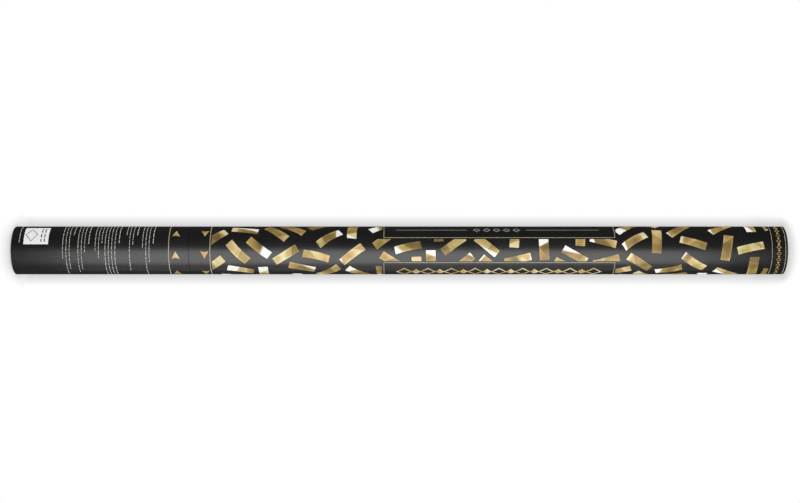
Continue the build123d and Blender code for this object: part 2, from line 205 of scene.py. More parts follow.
def mouldedPlastic(name, dark, light, rough, ior, grit):
    # injection-moulded plastic: fine spark-eroded grain from the tool, faint flow shading
    material, add, place = newMaterial(name)
    grain = add("TexVoronoi", {"Scale": perMm(grit), "feature": "SMOOTH_F1"}, {"Vector": place})
    flow = add("TexNoise", {"Scale": perMm(14), "Detail": 3.0}, {"Vector": place})
    tint = add("ValToRGB", {"stops": [(0.35, dark), (0.65, light)]}, {"Fac": flow})
    gloss = add("MapRange", {"From Min": 0.2, "From Max": 0.8, "To Min": rough - 0.05,
                             "To Max": rough + 0.06}, {"Value": grain})
    bump = add("Bump", {"Strength": 0.3, "Distance": 0.02 * mm}, {"Height": grain})
    shader = add("BsdfPrincipled", {"IOR": ior},
                 {"Base Color": tint, "Roughness": gloss, "Normal": bump})
    add("OutputMaterial", links={"Surface": shader})
    return material


def drawnMetal(name, dark, light, rough, lineMm):
    # drawn metal: fine lines along the draw, which stretch the highlight a little
    material, add, place = newMaterial(name)
    along = add("Mapping", {"Scale": (1.0, 1.0, 0.03)}, {"Vector": place})
    lines = add("TexNoise", {"Scale": perMm(lineMm), "Detail": 4.0}, {"Vector": along})
    tint = add("ValToRGB", {"stops": [(0.35, dark), (0.65, light)]}, {"Fac": lines})
    gloss = add("MapRange", {"To Min": rough - 0.08, "To Max": rough + 0.1}, {"Value": lines})
    bump = add("Bump", {"Strength": 0.2, "Distance": 0.01 * mm}, {"Height": lines})
    shader = add("BsdfPrincipled", {"Metallic": 1.0},
                 {"Base Color": tint, "Roughness": gloss, "Normal": bump})
    add("OutputMaterial", links={"Surface": shader})
    return material


def mouldedPulp():
    # pressed paper pulp: soft grey-white lumps and stray fibres
    material, add, place = newMaterial("moulded_paper_pulp")
    lump = add("TexNoise", {"Scale": perMm(2.2), "Detail": 8.0, "Roughness": 0.7},
               {"Vector": place})
    tint = add("ValToRGB", {"stops": [(0.35, "#958f83"), (0.65, "#c3bdb0")]}, {"Fac": lump})
    bump = add("Bump", {"Strength": 0.6, "Distance": 0.15 * mm}, {"Height": lump})
    shader = add("BsdfPrincipled", {"Roughness": 0.92, "Specular IOR Level": 0.25},
                 {"Base Color": tint, "Normal": bump})
    add("OutputMaterial", links={"Surface": shader})
    return material


def goldSlip():
    # metallised film cut into slips: glossy gold, softly dented, each slip a shade of its own
    material, add, place = newMaterial("metallised_gold_film")
    tone = add("Attribute", {"attribute_name": "tone"}).outputs["Fac"]
    gold = add("ValToRGB", {"stops": [(0.0, "#a8812f"), (0.5, "#d8b65c"),
                                      (1.0, "#f2dc97")]}, {"Fac": tone})
    dent = add("TexNoise", {"Scale": perMm(7), "Detail": 3.0}, {"Vector": place})
    bump = add("Bump", {"Strength": 0.5, "Distance": 0.25 * mm}, {"Height": dent})
    shader = add("BsdfPrincipled", {"Metallic": 0.35, "Roughness": 0.32},
                 {"Base Color": gold, "Normal": bump})
    add("OutputMaterial", links={"Surface": shader})
    return material


laminate = blackLaminate()
foil = goldFoilPrint()
lineInk = screenInk("pale_gold_ink", "#b8b096", "#9a927a", 1.5)
whiteInk = screenInk("white_screen_ink", "#ffffff", "#faf9f6", 2.5)
greyInk = screenInk("grey_screen_ink", "#d2d0ca", "#b4b2ac", 1.5)
dimInk = screenInk("mid_grey_screen_ink", "#aaa8a2", "#93918b", 1.5)
darkInk = screenInk("dark_grey_screen_ink", "#4c4a47", "#3e3c3a", 1.5)
board = woundBoard()
slipFilm = goldSlip()
print("materials made")


# Tools for meshes

def gridQuads(rows, columns, loopRows=False, loopColumns=False):
    # a quad between neighbouring rows and columns; a looped side joins its last line to its first
    row = np.arange(rows - (not loopRows))[:, None]
    column = np.arange(columns - (not loopColumns))[None, :]
    below, right = (row + 1) % rows, (column + 1) % columns
    corners = [row * columns + column, row * columns + right,
               below * columns + right, below * columns + column]
    return np.stack(corners, -1).reshape(-1, 4)


def slabQuads(rows, columns):
    # a grid, the same grid turned over beneath it, and a wall between their borders
    top = gridQuads(rows, columns)
    count = rows * columns
    first = np.arange(columns)
    left = np.arange(rows) * columns
    last, right = first + count - columns, left + columns - 1
    border = np.concatenate([first[:-1], right[:-1], last[:0:-1], left[:0:-1]])
    after = np.roll(border, -1)
    wall = np.stack([after, border, border + count, after + count], -1)
    return np.concatenate([top, top[:, ::-1] + count, wall])


def addPiece(name, points, quads, material, body, numbers=None, standsFor=()):
    # points are patches by vertices by 3, in mm; a negative volume means that faces look inwards
    patches, count = points.shape[:2]
    faces = (quads[None] + count * np.arange(patches)[:, None, None]).reshape(-1, 4)
    flat = points.reshape(-1, 3)
    a, b, c, d = flat[faces].transpose(1, 0, 2)
    if np.sum(a * (np.cross(b, c) + np.cross(c, d))) < 0:
        faces = faces[:, ::-1]
    mesh = bpy.data.meshes.new(name)
    mesh.from_pydata((flat * mm).tolist(), [], faces.tolist())
    mesh.polygons.foreach_set("use_smooth", np.ones(len(faces), bool))
    mesh.set_sharp_from_angle(angle=sharpAngle)
    for label, values in (numbers or {}).items():
        layer = mesh.attributes.new(label, "FLOAT", "POINT")
        perPoint = np.broadcast_to(values, points.shape[:2]).astype(np.float32)
        layer.data.foreach_set("value", perPoint.ravel())
    mesh.materials.append(material)
    piece = bpy.data.objects.new(name, mesh)
    scene.collection.objects.link(piece)
    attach(piece, body)
    if standsFor:
        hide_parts(*standsFor)
    print("piece", name, len(faces), "faces")
    return piece


# The paper cover: what is printed on it is placed by arc and station, both in mm.
# Arc 0 is the line that faces the camera, plus goes towards the top of the picture.
# Each body's cover starts at its board's end by the seam and runs for a length, up or down.
cover = {"radius": 25.0, "inside": 24.7, "lap": 8.0, "lapRise": 0.12, "lapRamp": 2.5,
         "rampSteps": 5, "foilRise": 0.045, "sunk": -0.02, "columns": 360, "lip": 0.13,
         "turnedIn": 22.75, "soft": 0.08, "fromEnd": (0.5, 1.2, 2.5, 5.0, 12.0),
         "endRub": {"most": 0.8, "reach": 0.5}, "lapRub": {"most": 0.7, "reach": 0.4},
         "handle": {"boardEnd": 182.75, "length": 182.35, "way": -1},
         "barrel": {"boardEnd": 183.25, "length": 616.35, "way": 1}}
halfRound = np.pi * cover["radius"]  # arc from the near line to the lap at the back
allRound = np.linspace(-halfRound, halfRound, cover["columns"])


def coverRadius(arc):
    # the radius, plus a smooth ramp up to the second sheet where the paper laps over itself
    x = np.clip((arc - halfRound + cover["lap"]) / cover["lapRamp"], 0, 1)
    return cover["radius"] + cover["lapRise"] * x * x * (3 - 2 * x)


def onCover(arc, station, rise):
    # arc over radius is the angle: minus sine is x, minus cosine is y, and the station is z
    angle = arc / cover["radius"]
    r = coverRadius(arc) + rise
    return np.stack(np.broadcast_arrays(-r * np.sin(angle), -r * np.cos(angle), station), -1)


def addPrint(name, arc, station, material, body, numbers=None, lift=0.0):
    # a thin slab for each patch: the grid at the foil's height, and again just inside the paper
    patches, rows, columns = arc.shape
    top = onCover(arc, station, cover["foilRise"] + lift).reshape(patches, -1, 3)
    under = onCover(arc, station, cover["sunk"]).reshape(patches, -1, 3)
    twice = {label: np.concatenate([values.reshape(patches, -1)] * 2, 1)
             for label, values in (numbers or {}).items()}
    points = np.concatenate([top, under], 1)
    return addPiece(name, points, slabQuads(rows, columns), material, body, twice)


def addCover(body):
    # a strip of paper's section, t along the tube from the slit and the rise above its face: turned
    # in over the board's end at the slit, corners just broken, carried round over the lap
    lip, soft, way = cover["lip"], cover["soft"], cover[body]["way"]
    slit, length = cover[body]["boardEnd"] - way * lip, cover[body]["length"] + lip
    ramp = np.linspace(0, 1, cover["rampSteps"]) * cover["lapRamp"]
    arc = np.sort(np.append(allRound, halfRound - cover["lap"] + ramp))
    inside, turned = cover["inside"] - cover["radius"], cover["turnedIn"] - cover["radius"]
    fromEnd = np.array([soft, *cover["fromEnd"]])
    t = np.concatenate([[0, 0], fromEnd, (length - fromEnd)[::-1], [length, length, lip, lip]])
    rise = np.concatenate([[turned, -soft], np.zeros(2 * len(fromEnd)),
                           [-soft, inside, inside, turned]])
    points = onCover(arc[None, :], slit + way * t[:, None], rise[:, None])
    # rubbed at the far end's edge and the lap's edge, and less with the distance from them
    endRub, lapRub = cover["endRub"], cover["lapRub"]
    rub = endRub["most"] * np.exp((t - length) / endRub["reach"])[:, None] + 0 * arc
    rub = np.maximum(rub, lapRub["most"] * np.exp(-(halfRound - arc) / lapRub["reach"]))
    quads = gridQuads(len(t), len(arc), True, True)
    return addPiece(body + "_wrap", points.reshape(1, -1, 3), quads, laminate, body,
                    {"rub": rub.reshape(1, -1)}, (body + "_label",))


addCover("handle")
addCover("barrel")

# Board tubes: the wall's rectangle with softened corners, carried round the axis
tubes = {"inside": 22.65, "outside": 24.65, "soft": 0.25, "cornerSteps": 4, "columns": 240,
         "handle": (0.0, 182.75), "barrel": (183.25, 800.0)}


def softCorners(corners, size, steps):
    # each corner becomes a quadratic curve between points that far from it on its two sides
    before, after = np.roll(corners, 1, 0), np.roll(corners, -1, 0)
    start = corners + size * (before - corners) / np.linalg.norm(before - corners, axis=1)[:, None]
    end = corners + size * (after - corners) / np.linalg.norm(after - corners, axis=1)[:, None]
    t = np.linspace(0, 1, steps)[None, :, None]
    curve = ((1 - t) ** 2 * start[:, None] + 2 * t * (1 - t) * corners[:, None]
             + t ** 2 * end[:, None])
    return curve.reshape(-1, 2)


def roundAxis(profile, columns):
    # radius times cosine and sine of an angle that goes once round, at the profile's height
    angle = np.linspace(0, turn, columns, endpoint=False)[None, :]
    r, z = profile[:, :1], profile[:, 1:]
    return np.stack(np.broadcast_arrays(r * np.cos(angle), r * np.sin(angle), z), -1)


for body in ("handle", "barrel"):
    inner, outer = tubes["inside"], tubes["outside"]
    low, high = tubes[body]
    wall = np.array([(inner, low), (outer, low), (outer, high), (inner, high)])
    ring = softCorners(wall, tubes["soft"], tubes["cornerSteps"])
    points = roundAxis(ring, tubes["columns"]).reshape(1, -1, 3)
    quads = gridQuads(len(ring), tubes["columns"], True, True)
    addPiece(body + "_board", points, quads, board, body,
             standsFor=(body + "_tube",))

# Print: rings round the tube, each a flat band over the lap and all; station and width
rings = {"handle": [(162.6, 0.8)], "barrel": [(205.1, 0.8), (783.5, 0.45), (797.3, 0.5)]}
for body, bands in rings.items():
    middle, width = np.array(bands).T[:, :, None, None]
    across = np.array([-0.5, -0.5, 0.5, 0.5])[None, :, None]
    sunk, high = cover["sunk"], cover["foilRise"]
    rise = np.array([sunk, high, high, sunk])[None, :, None]
    points = onCover(allRound[None, None, :], middle + across * width, rise)
    quads = gridQuads(4, cover["columns"], True, True)
    addPiece(body + "_rings", points.reshape(len(bands), -1, 3), quads, lineInk, body)

# Print: arrowheads that show which way to twist, each body's at a station, pointing up or down
arrows = {"tall": 8.0, "wide": 8.0, "notch": 0.14, "blunt": 0.05, "pitch": 24.0, "first": -52.8,
          "count": 6, "columns": 9, "rows": 5, "tone": 0.64, "tipTone": 0.14,
          "handle": (169.6, 1), "barrel": (199.4, -1)}
for body in ("handle", "barrel"):
    middle, way = arrows[body]
    x = np.linspace(-1, 1, arrows["columns"])[None, :]
    q = np.linspace(0, 1, arrows["rows"])[:, None]
    # height at x: from a notched foot up to a straight-sided tip
    top = 1 - (1 - arrows["blunt"]) * np.abs(x)
    foot = arrows["notch"] * (1 - np.abs(x))
    y = foot + (top - foot) * q - 0.5
    centre = arrows["first"] + np.arange(arrows["count"]) * arrows["pitch"]
    arc = centre[:, None, None] + way * y[None] * arrows["tall"]
    station = middle + x[None] * arrows["wide"] / 2 + 0 * arc
    tone = arrows["tone"] + arrows["tipTone"] * y[None] + 0 * arc
    addPrint(body + "_arrows", arc, station, foil, body, {"tone": tone})

# Print: two framed panels, opposite each other, that the confetti stops short of
panels = {"arcs": [(13.8, 65.3), (-64.7, -13.2)], "stations": (384.0, 622.0), "line": 0.52,
          "steps": 28, "clear": 1.7}


def closedPath(corner, steps):
    # the line from each corner to the next, cut into steps
    step = np.linspace(0, 1, steps, endpoint=False)[None, :, None]
    return (corner[:, None] + step * (np.roll(corner, -1, 0) - corner)[:, None]).reshape(-1, 2)


def frameLoop(low, high, start, end, width):
    # a rectangle's path; the strip's two edges are the path moved out and in
    sides = []
    for inset in (-width / 2, width / 2):
        a0, a1, s0, s1 = low + inset, high - inset, start + inset, end - inset
        corner = np.array([(a0, s0), (a1, s0), (a1, s1), (a0, s1)])
        sides.append(closedPath(corner, panels["steps"]))
    return np.array(sides)


def addFrames(name, loops, material, body, numbers=None, lift=0.0):
    # the flat strip between the two edges, raised to the foil's height and closed underneath
    path = np.concatenate([loops, loops[:, ::-1]], 1)
    sunk, high = cover["sunk"], cover["foilRise"] + lift
    rise = np.array([high, high, sunk, sunk])[None, :, None]
    points = onCover(path[..., 0], path[..., 1], rise)
    quads = gridQuads(4, path.shape[2], True, True)
    return addPiece(name, points.reshape(len(loops), -1, 3), quads, material, body,
                    numbers)


frames = [frameLoop(*arcs, *panels["stations"], panels["line"]) for arcs in panels["arcs"]]
addFrames("panel_frames", np.array(frames), lineInk, "barrel")


def bars(arcFrom, arcTo, stationFrom, stationTo, columns, rows=2):
    # straight-edged patches: each is a blend of its two ends in both directions
    q = np.linspace(0, 1, rows)[None, :, None]
    p = np.linspace(0, 1, columns)[None, None, :]
    a0, a1, s0, s1 = [np.asarray(v, float)[:, None, None]
                      for v in (arcFrom, arcTo, stationFrom, stationTo)]
    return np.broadcast_arrays(a0 + (a1 - a0) * p, s0 + (s1 - s0) * q)


def lozenges(arc, station, tall, wide, grid):
    # a square grid turned by an eighth: the sum of its sides runs along the tube, the difference
    # round it
    p = np.linspace(-0.5, 0.5, grid)
    a, b = p[None, :, None], p[None, None, :]
    x, y = a + b, a - b
    return np.broadcast_arrays(np.asarray(arc, float)[:, None, None] + y * wide,
                               np.asarray(station, float)[:, None, None] + x * tall)


def lozengeLoop(arc, station, tall, wide, inner, steps=6):
    # four corners round a middle; the strip's inner edge is the outer one made smaller
    corner = np.array([(0, -tall / 2), (wide / 2, 0), (0, tall / 2), (-wide / 2, 0)])
    path = closedPath(corner, steps)
    return np.array([path, path * inner]) + np.array([arc, station])


# Panel ornament: a row of open lozenges with small ones between, and thin rules with five small
# open lozenges; arcs are counted from the panel's high or low side
ornament = {"row": np.linspace(405, 601, 9), "rowArc": -13.6, "tall": 17.0, "wide": 13.6,
            "inner": 0.75, "tone": 0.84,
            "dotTall": 5.0, "dotWide": 5.0, "dotGrid": 5, "dotTone": 0.74, "dotDrift": 0.25,
            "rules": [(396.5, 469.5), (531.5, 606.5)], "ruleArc": 11.0, "ruleWidth": 0.5,
            "ruleColumns": 3,
            "small": np.linspace(480, 521, 5), "smallTall": 7.8, "smallWide": 6.4,
            "smallInner": 0.7}
rowArc = np.array([high + ornament["rowArc"] for low, high in panels["arcs"]])
ruleArc = np.array([low + ornament["ruleArc"] for low, high in panels["arcs"]])
loops = [lozengeLoop(arc, station, ornament["tall"], ornament["wide"], ornament["inner"])
         for arc in rowArc for station in ornament["row"]]
addFrames("panel_lozenges", np.array(loops), foil, "barrel",
          {"tone": ornament["tone"]})
between = (ornament["row"][1:] + ornament["row"][:-1]) / 2
dotArc, dotStation = np.meshgrid(rowArc, between)
arc, station = lozenges(dotArc.ravel(), dotStation.ravel(), ornament["dotTall"],
                        ornament["dotWide"], ornament["dotGrid"])
offset = station - station.mean((1, 2), keepdims=True)
tone = ornament["dotTone"] + ornament["dotDrift"] * offset / ornament["dotTall"]
addPrint("panel_dots", arc, station, foil, "barrel", {"tone": tone})
spans = np.array(ornament["rules"] * len(panels["arcs"]))
atArc = np.repeat(ruleArc, len(ornament["rules"]))
half = ornament["ruleWidth"] / 2
arc, station = bars(atArc - half, atArc + half, spans[:, 0], spans[:, 1], ornament["ruleColumns"])
addPrint("panel_rules", arc, station, dimInk, "barrel")
loops = [lozengeLoop(arc, station, ornament["smallTall"], ornament["smallWide"],
                     ornament["smallInner"])
         for arc in ruleArc for station in ornament["small"]]
addFrames("panel_small_lozenges", np.array(loops), dimInk, "barrel")

# Muzzle band: open lozenges all round between the two thin rings, with dots between them
band = {"station": 790.4, "around": 24, "tall": 5.0, "wide": 4.2, "inner": 0.7,
        "dotTall": 1.4, "dotWide": 1.2, "dotGrid": 3, "tone": 0.56}
bandArc = (np.arange(band["around"]) + 0.5) / band["around"] * 2 * halfRound - halfRound
loops = [lozengeLoop(arc, band["station"], band["tall"], band["wide"], band["inner"])
         for arc in bandArc]
addFrames("band_lozenges", np.array(loops), foil, "barrel", {"tone": band["tone"]})
dotArc = (bandArc[1:] + bandArc[:-1]) / 2
arc, station = lozenges(dotArc, np.full(len(dotArc), band["station"]), band["dotTall"],
                        band["dotWide"], band["dotGrid"])
addPrint("band_dots", arc, station, foil, "barrel", {"tone": band["tone"] + 0 * arc})

# Print: confetti slips scattered over the barrel and cut off at the rings, the panels and the lap.
# The last three numbers, in halves of a slip, keep the rows of a cut slip from closing up.
confetti = {"length": 27.5, "width": (7.7, 9.8), "gap": 4.2, "mix": 5.0, "spread": 5.0,
            "tilts": (-88, -38, -18, 18, 38, 88), "share": (0.12, 0.2, 0.18, 0.18, 0.2, 0.12),
            "stations": (206.6, 781.6), "tries": 420, "most": 170, "shown": 0.12, "seed": 17,
            "columns": 25, "rows": 9, "sideSteps": 7, "endSteps": 3, "insideSteps": (15, 7),
            "cutReach": 0.97, "cornerRoom": 0.1, "stub": 0.98}


def slipHalf(tilt):
    # half the width: slips that stand round the tube are wider than those that lie along it
    low, high = confetti["width"]
    return (low + (high - low) * np.sin(tilt) ** 2) / 2


def rimGap(apart, mine, mineHalf, other, otherHalf, halfLength, rim):
    # rim points of one slip, in the other's own axes: how far they lie outside its half sides
    mineSide = np.stack([mine[..., 1], -mine[..., 0]], -1)
    otherSide = np.stack([other[..., 1], -other[..., 0]], -1)
    spot = (apart[:, :, None] + rim[:, :1] * halfLength * mine
            + rim[:, 1:] * mineHalf[..., None] * mineSide)
    outU = np.maximum(np.abs((spot * other).sum(-1)) - halfLength, 0)
    outV = np.maximum(np.abs((spot * otherSide).sum(-1)) - otherHalf, 0)
    return np.hypot(outU, outV).min(2)


def clearStations():
    # where the panels and their clear border begin and end along the tube
    start, end = panels["stations"]
    return start - panels["clear"], end + panels["clear"]


def cuttingLines(arc, station):
    # each line keeps what lies below its limit, along its arc and station parts, on the slips that
    # it matters to
    clear, long = panels["clear"], confetti["length"]
    s0, s1 = clearStations()
    within = (station > s0) & (station < s1)
    every = np.ones(len(arc), bool)
    first, last = confetti["stations"]
    lines = [(0, -1, -first, every), (0, 1, last, every),
             (1, 0, halfRound, arc > 0), (-1, 0, halfRound, arc < 0)]
    for low, high in panels["arcs"]:
        middle = (low + high) / 2
        beside = (arc > low - clear) & (arc < high + clear)
        lines += [(1, 0, low - clear, within & (arc < middle) & (arc > low - long)),
                  (-1, 0, -high - clear, within & (arc > middle) & (arc < high + long)),
                  (0, 1, s0, beside & (station <= s0)), (0, -1, -s1, beside & (station >= s1))]
    return lines


def inPanels(spot):
    # which points lie on a panel or its clear border
    clear = panels["clear"]
    s0, s1 = clearStations()
    inside = np.zeros(spot.shape[:-1], bool)
    for low, high in panels["arcs"]:
        inside |= (spot[..., 0] > low - clear) & (spot[..., 0] < high + clear)
    return inside & (spot[..., 1] > s0) & (spot[..., 1] < s1)


def scatterConfetti():
    # one slip at a time: of many random places, the closest fit that keeps the gap to the others
    draw = np.random.default_rng(confetti["seed"])
    n, halfLength = confetti["tries"], confetti["length"] / 2
    # points on a slip's rim and all over it, in halves of its length and width
    side = np.linspace(-1, 1, confetti["sideSteps"])
    end = np.linspace(-0.5, 0.5, confetti["endSteps"])
    rim = np.concatenate([np.stack([side, side * 0 + k], -1) for k in (-1, 1)]
                         + [np.stack([end * 0 + k, end], -1) for k in (-1, 1)])
    lengthways, crossways = [np.linspace(-1, 1, steps) for steps in confetti["insideSteps"]]
    inner = np.stack(np.meshgrid(lengthways, crossways), -1).reshape(-1, 2)
    places, cuts = np.empty((0, 3)), np.empty((0, 3))
    for attempt in range(confetti["most"]):
        arc = draw.uniform(-halfRound, halfRound, n)
        station = draw.uniform(*confetti["stations"], n)
        tilt = np.radians(draw.choice(confetti["tilts"], n, p=confetti["share"])
                          + draw.normal(0, confetti["spread"], n))
        half = slipHalf(tilt)
        along = np.stack([np.sin(tilt), np.cos(tilt)], -1)  # arc and station parts of the long side
        across = np.stack([np.cos(tilt), -np.sin(tilt)], -1)
        centre = np.stack([arc, station], -1)
        spot = (centre[:, None] + halfLength * inner[None, :, :1] * along[:, None]
                + half[:, None, None] * inner[None, :, 1:] * across[:, None])
        kept = np.ones(spot.shape[:2], bool)
        cutCount = np.zeros(n, int)
        cut = np.tile([0.0, 0.0, 1.0], (n, 1))
        for na, ns, limit, matters in cuttingLines(arc, station):
            over = (na * spot[..., 0] + ns * spot[..., 1] > limit) & matters[:, None]
            hit = over.any(1)
            u = halfLength * (na * along[:, 0] + ns * along[:, 1])
            v = half * (na * across[:, 0] + ns * across[:, 1])
            w = limit - na * arc - ns * station
            cut[hit] = np.stack([u, v, w], -1)[hit]
            cutCount += hit
            kept &= ~over
        stray = (kept & inPanels(spot)).any(1)
        good = (cutCount < 2) & ~stray & (kept.mean(1) > confetti["shown"])
        score = np.where(good, 0.0, np.inf)
        if len(places) and good.any():
            old = np.stack([np.sin(places[:, 2]), np.cos(places[:, 2])], -1)[None, :, None]
            oldHalf = slipHalf(places[:, 2])[None, :, None]
            new, newHalf = along[good][:, None, None], half[good][:, None, None]
            apart = centre[good][:, None] - places[None, :, :2]
            apart[..., 0] = (apart[..., 0] + halfRound) % (2 * halfRound) - halfRound
            # from each rim point of one slip to the nearest side of the other, and the other way
            near = np.minimum(rimGap(apart, new, newHalf, old, oldHalf, halfLength, rim),
                              rimGap(-apart, old, oldHalf, new, newHalf, halfLength, rim))
            alike = np.maximum(np.cos(2 * (tilt[good] - places[near.argmin(1), 2])), 0)
            near = near.min(1)
            fits = near > confetti["gap"]
            score[good] = np.where(fits, near + confetti["mix"] * alike, np.inf)
        best = int(np.argmin(score))
        if np.isfinite(score[best]):
            places = np.vstack([places, [arc[best], station[best], tilt[best]]])
            cuts = np.vstack([cuts, cut[best]])
    return places, cuts


places, cuts = scatterConfetti()
count = len(places)
halfLength, halfWidth = confetti["length"] / 2, slipHalf(places[:, 2])[:, None, None]
cu, cv, cw = cuts.T[:, :, None, None]
isCut = np.abs(cu) + np.abs(cv) > 0
tiny = 0.001  # a cut's part is never less, so that it can be divided by
safeU = np.where(np.abs(cu) < tiny, tiny, cu)
safeV = np.where(np.abs(cv) < tiny, tiny, cv)
# rows run along the slip, from the first that the cut leaves anything of to the last, with one at
# the corner where the cut begins
reach = (cw + confetti["cutReach"] * np.abs(cu)) / safeV
lowV = np.where(safeV < 0, np.clip(reach, -1, 1), -1.0)
highV = np.where(safeV > 0, np.clip(reach, -1, 1), 1.0)
margin = confetti["cornerRoom"] * (highV - lowV)
corner = np.clip((cw - np.abs(cu)) / safeV, lowV + margin, highV - margin)
q = np.linspace(0, 2, confetti["rows"])[None, :, None]
row = np.where(q < 1, lowV + (corner - lowV) * q, corner + (highV - corner) * (q - 1))
# each row ends at the slip's own end or where the cut crosses it, and keeps at least a stub
limit = (cw - cv * row) / safeU
lowU = np.where(safeU < 0, np.clip(limit, -1, confetti["stub"]), -1.0)
highU = np.where(safeU > 0, np.clip(limit, -confetti["stub"], 1), 1.0)
p = np.linspace(0, 1, confetti["columns"])[None, None, :]
u = (lowU + (highU - lowU) * p) * halfLength
v = row * halfWidth + 0 * u

# How each slip's colour varies, with its painted highlights, painted fold shade and painted glints,
# as ranges that its own numbers are drawn from
shine = {"seed": 21, "bow": 0.7, "mostBow": 2, "level": (0.25, 0.6), "drift": (-0.03, 0.03),
         "wave": (0.02, 0.1), "waveLong": (2.5, 5), "wavePhase": (0, 6),
         "endLight": (-0.15, 0.6), "endDeep": 3.8, "endFade": 2,
         "edgeLight": (0.06, 0.26), "edgeDeep": 1.3, "foldShadeAt": (-9, 9), "foldShadeLean": (-1.2, 1.2),
         "endGlints": 0.39, "sideGlints": 0.07, "allGlints": 0.015,
         "glintDeep": (1.5, 12.5), "fewDeep": 1.5, "glintLean": (-0.7, 0.7),
         "sideAt": (0.5, 2.5), "sideLean": (0.15, 0.4), "full": 9.0, "none": -5.0,
         "crisp": (0.35, 1.5)}
rng = np.random.default_rng(shine["seed"])


def each(low, high):
    # one random number for each slip, shaped to go with its grid
    return rng.uniform(low, high, count)[:, None, None]


mostBow = shine["mostBow"]
bow = np.clip(rng.normal(0, shine["bow"], count), -mostBow, mostBow)[:, None, None]
bow = np.where(isCut, 0.0, bow)
bent = v + bow * (0.5 - (u / halfLength) ** 2)
sine, cosine = np.sin(places[:, 2])[:, None, None], np.cos(places[:, 2])[:, None, None]
arc = places[:, 0, None, None] + u * sine + bent * cosine
station = places[:, 1, None, None] + u * cosine - bent * sine
# tone: a level of its own, a drift along the slip, slow waves, and painted highlights on one end
# and along the long edges
endOf = np.sign(each(-1, 1))
tone = each(*shine["level"]) + each(*shine["drift"]) * u
tone += each(*shine["wave"]) * np.sin(u / each(*shine["waveLong"]) + each(*shine["wavePhase"]))
atEnd = np.clip((endOf * u - halfLength + shine["endDeep"]) / shine["endFade"], 0, 1)
tone += np.clip(each(*shine["endLight"]), 0, 1) * atEnd
atEdge = np.clip(np.abs(v) - halfWidth + shine["edgeDeep"], 0, 1)
tone += each(*shine["edgeLight"]) * atEdge
# painted fold shade: how far past a straight line that crosses the slip; the foil's colour makes
# one side lighter and the other darker
fold = np.sign(each(-1, 1)) * (u - each(*shine["foldShadeAt"]) + each(*shine["foldShadeLean"]) * v)
# painted glint, a white highlight: how far past a straight line, across one end, along one side,
# or over the whole slip
kind = each(0, 1)
ends = shine["endGlints"]
sides = ends + shine["sideGlints"]
wholes = sides + shine["allGlints"]
shallow, deep = shine["glintDeep"]
endGlint = (endOf * u - halfLength + shallow + (deep - shallow) * each(0, 1) ** shine["fewDeep"]
            + each(*shine["glintLean"]) * v)
sideGlint = (np.sign(each(-1, 1)) * v - each(*shine["sideAt"])
             + np.sign(each(-1, 1)) * each(*shine["sideLean"]) * u)
glint = np.where(kind < wholes, shine["full"], shine["none"])
glint = np.where(kind < ends, endGlint, np.where(kind < sides, sideGlint, glint))
# a low factor lets it fade out softly, a high one gives it a crisp edge
glint = glint * each(*shine["crisp"])
addPrint("barrel_confetti", arc, station, foil, "barrel",
         {"tone": tone, "fold": fold, "glint": glint})
print("confetti slips printed:", count)

# Handle print: a white patch with one open lozenge and two broken lines on it
patch = {"arcs": (6.4, 29.4), "stations": (13.0, 38.4), "columns": 25, "rows": 9, "lift": 0.03,
         "tall": 13.0, "wide": 16.0, "inner": 0.88, "lozengeAt": (17.5, 20.6),
         "lines": (31.0, 34.4), "stroke": 1.1, "dashes": ((27.0, 20.5), (18.5, 14.0), (12.5, 9.0)),
         "dashColumns": 4}
(arcLow, arcHigh), (low, high) = patch["arcs"], patch["stations"]
arc, station = bars([arcLow], [arcHigh], [low], [high], patch["columns"], patch["rows"])
addPrint("handle_patch", arc, station, whiteInk, "handle")
loops = lozengeLoop(*patch["lozengeAt"], patch["tall"], patch["wide"], patch["inner"])[None]
addFrames("patch_lozenge", loops, darkInk, "handle", lift=patch["lift"])
at = np.repeat(patch["lines"], len(patch["dashes"]))
first, last = np.tile(np.array(patch["dashes"]).T, len(patch["lines"]))
half = patch["stroke"] / 2
arc, station = bars(last, first, at - half, at + half, patch["dashColumns"])
addPrint("patch_dashes", arc, station, darkInk, "handle", lift=patch["lift"])

# Handle print: groups of broken hairlines; each group has its first row's station and the arcs
# where its rows end
hairlines = {"groups": [(146.7, (6.6, -13.5, -45, 2.5)), (129.9, (15, 5.6, -25, 16)),
                        (111.6, (7, -45, -45, -45, -45, 7.7, -7.8, -1)),
                        (80.4, (5.6, -2, -22, -27)), (64.6, (17, -22, -31, -9.5)), (8.6, (8.5,))],
             "lead": 4.2, "pitch": 3.4, "start": 47.0, "stroke": 0.55, "firstStroke": 0.7,
             "long": (1.6, 6.2), "space": (0.7, 1.1), "most": 40, "shortest": 1, "columns": 4,
             "seed": 9}
rng = np.random.default_rng(hairlines["seed"])
dashes = []
for top, ends in hairlines["groups"]:
    for k, end in enumerate(ends):
        stroke = hairlines["stroke"] if k else hairlines["firstStroke"]
        station = top - (hairlines["lead"] + (k - 1) * hairlines["pitch"] if k else 0)
        lengths = rng.uniform(*hairlines["long"], hairlines["most"])
        spaces = rng.uniform(*hairlines["space"], hairlines["most"])
        first = hairlines["start"] - np.concatenate([[0], np.cumsum(lengths + spaces)[:-1]])
        last = np.maximum(first - lengths, end)
        middle = station + 0 * first
        edges = np.stack([first, last, middle - stroke / 2, middle + stroke / 2], -1)
        dashes.append(edges[first > end + hairlines["shortest"]])
first, last, below, above = np.concatenate(dashes).T
arc, station = bars(last, first, below, above, hairlines["columns"])
addPrint("handle_hairlines", arc, station, greyInk, "handle")

